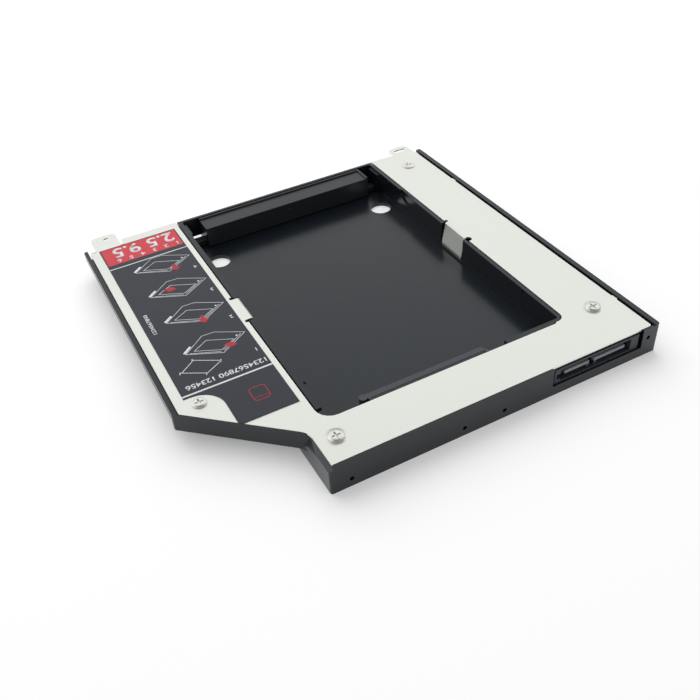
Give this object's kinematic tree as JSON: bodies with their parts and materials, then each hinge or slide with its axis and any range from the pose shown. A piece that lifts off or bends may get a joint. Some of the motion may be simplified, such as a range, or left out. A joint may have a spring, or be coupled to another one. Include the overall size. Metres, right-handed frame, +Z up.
{
  "type": "optical bay drive caddy",
  "caption": "Slim moulded tray that holds a small drive in a laptop's optical bay, with a silver cover plate, keyed plugs and a lift-out retainer.",
  "frame": {"origin": "on the underside, at the middle of the overall box, bezel tabs included", "axes": "+X along the near edge towards the host plug's end, +Y towards the bezel edge, +Z up out of the bay"},
  "size_m": [0.128, 0.1318, 0.0098],
  "materials": {
    "black_plastic": "fine moulded texture",
    "satin_metal": "satin sheet",
    "label_print": "printed film",
    "bright_steel": "plated",
    "board_green": "lacquered board",
    "grey_nylon": "moulded",
    "gold_plate": "gold plated",
    "ceramic": "ceramic"
  },
  "bodies": {
    "caddy": {"frame": "black_plastic", "cover_plate": "satin_metal", "label": "label_print", "cover_screw_near_left": "bright_steel", "cover_screw_near_right": "bright_steel", "cover_screw_wing": "bright_steel", "cover_screw_far_right": "bright_steel", "adapter_board": "board_green", "host_connector": "grey_nylon", "drive_connector": "grey_nylon", "host_power_contact_01": "gold_plate", "host_power_contact_02": "gold_plate", "host_power_contact_03": "gold_plate", "host_power_contact_04": "gold_plate", "host_power_contact_05": "gold_plate", "host_power_contact_06": "gold_plate", "host_data_contact_01": "gold_plate", "host_data_contact_02": "gold_plate", "host_data_contact_03": "gold_plate", "host_data_contact_04": "gold_plate", "host_data_contact_05": "gold_plate", "host_data_contact_06": "gold_plate", "host_data_contact_07": "gold_plate", "drive_power_contact_01": "gold_plate", "drive_power_contact_02": "gold_plate", "drive_power_contact_03": "gold_plate", "drive_power_contact_04": "gold_plate", "drive_power_contact_05": "gold_plate", "drive_power_contact_06": "gold_plate", "drive_power_contact_07": "gold_plate", "drive_power_contact_08": "gold_plate", "drive_power_contact_09": "gold_plate", "drive_power_contact_10": "gold_plate", "drive_power_contact_11": "gold_plate", "drive_power_contact_12": "gold_plate", "drive_power_contact_13": "gold_plate", "drive_power_contact_14": "gold_plate", "drive_power_contact_15": "gold_plate", "drive_data_contact_01": "gold_plate", "drive_data_contact_02": "gold_plate", "drive_data_contact_03": "gold_plate", "drive_data_contact_04": "gold_plate", "drive_data_contact_05": "gold_plate", "drive_data_contact_06": "gold_plate", "drive_data_contact_07": "gold_plate", "board_capacitor_1": "ceramic", "board_capacitor_2": "ceramic", "board_capacitor_3": "ceramic"},
    "retainer": {"drive_retainer": "black_plastic"}
  },
  "joints": [
    {"name": "retainer_lift", "type": "slide", "parent": "caddy", "child": "retainer", "axis": [0, 0, 1], "range_m": [0, 0.01]}
  ]
}
